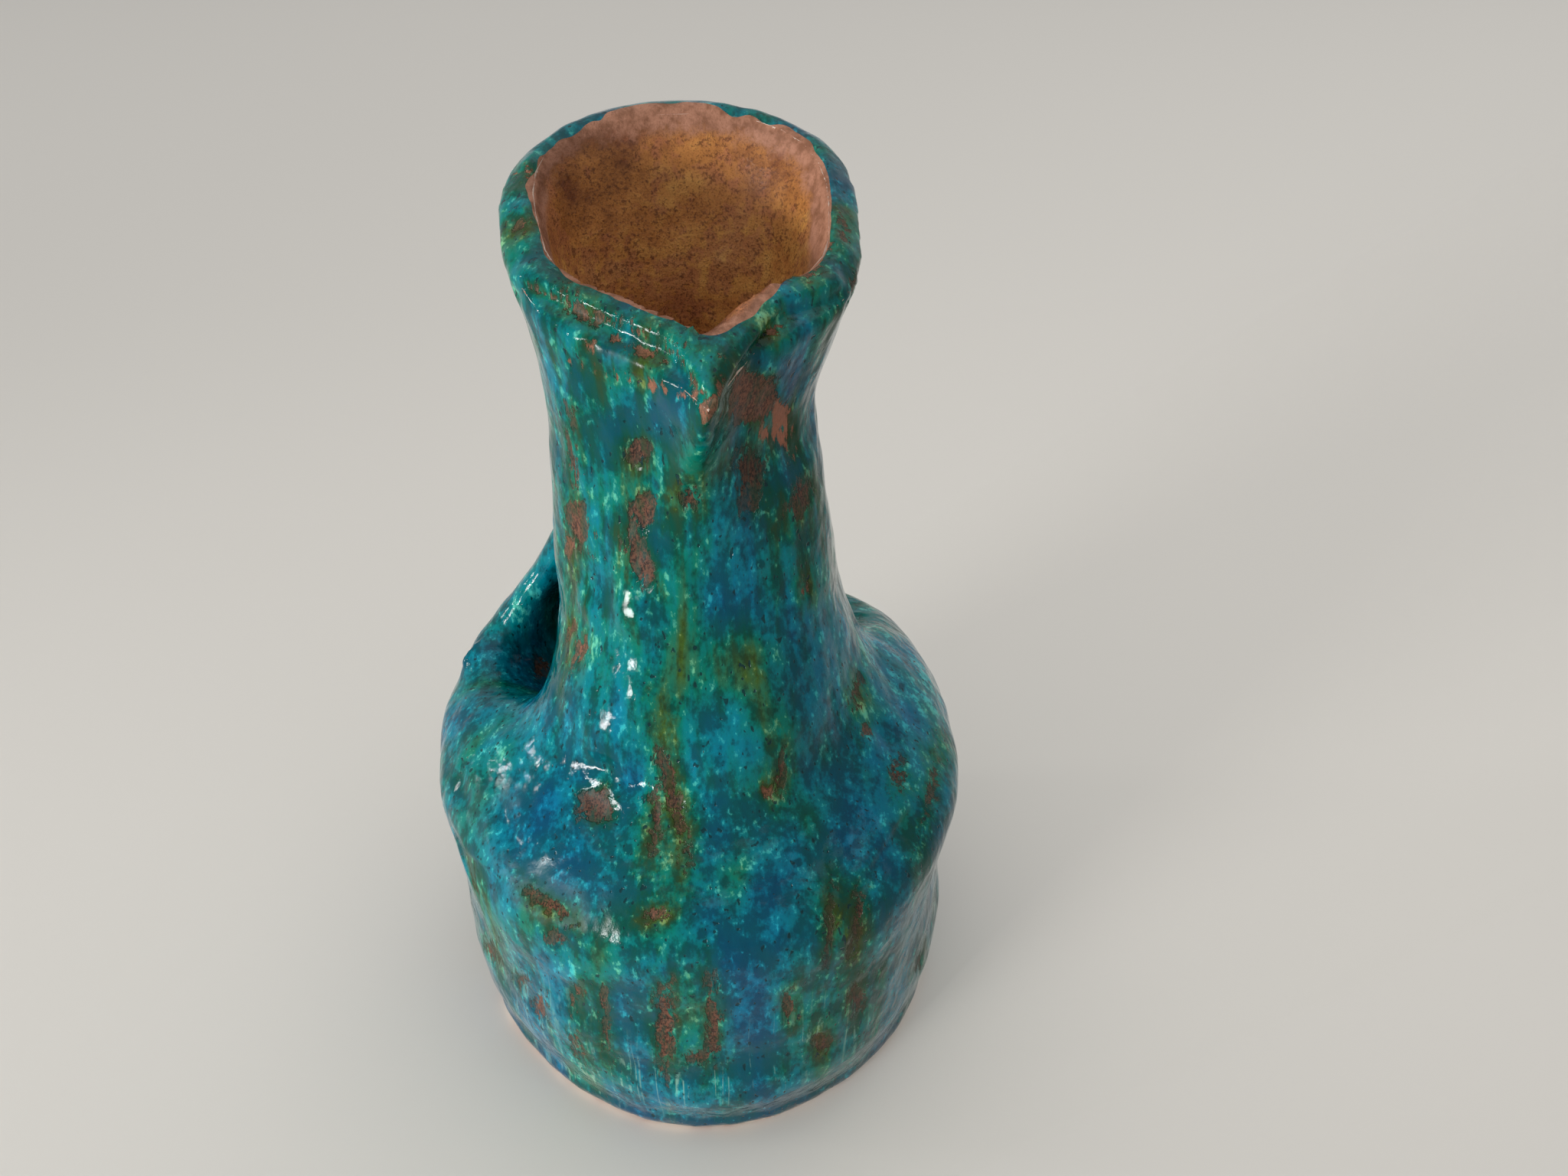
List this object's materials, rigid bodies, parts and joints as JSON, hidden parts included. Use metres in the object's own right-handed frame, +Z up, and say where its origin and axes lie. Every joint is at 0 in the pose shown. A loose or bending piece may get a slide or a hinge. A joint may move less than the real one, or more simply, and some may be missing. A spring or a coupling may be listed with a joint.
{
  "type": "bird vase",
  "caption": "Hand-built glazed ceramic vase with a round body, sloping shoulders, thick neck, beaked mouth and a broad back handle over a finger gap.",
  "frame": {"origin": "middle of the flat underside of the foot", "axes": "+Z up the neck, the beak points along -Y, the handle lies towards +Y"},
  "size_m": [0.1719, 0.1749, 0.2981],
  "materials": {
    "bare_clay": "matt fired clay",
    "turquoise_glaze": "glossy mottled turquoise and cobalt glaze",
    "ochre_wash": "satin speckled ochre wash"
  },
  "bodies": {
    "root": {"base_slab": "bare_clay", "lower_wall": "bare_clay", "upper_wall": "bare_clay", "shoulder": "bare_clay", "neck": "bare_clay", "beak_lip": "bare_clay", "back_handle": "bare_clay", "glaze_coat": "turquoise_glaze", "inner_wash": "ochre_wash"}
  },
  "joints": []
}
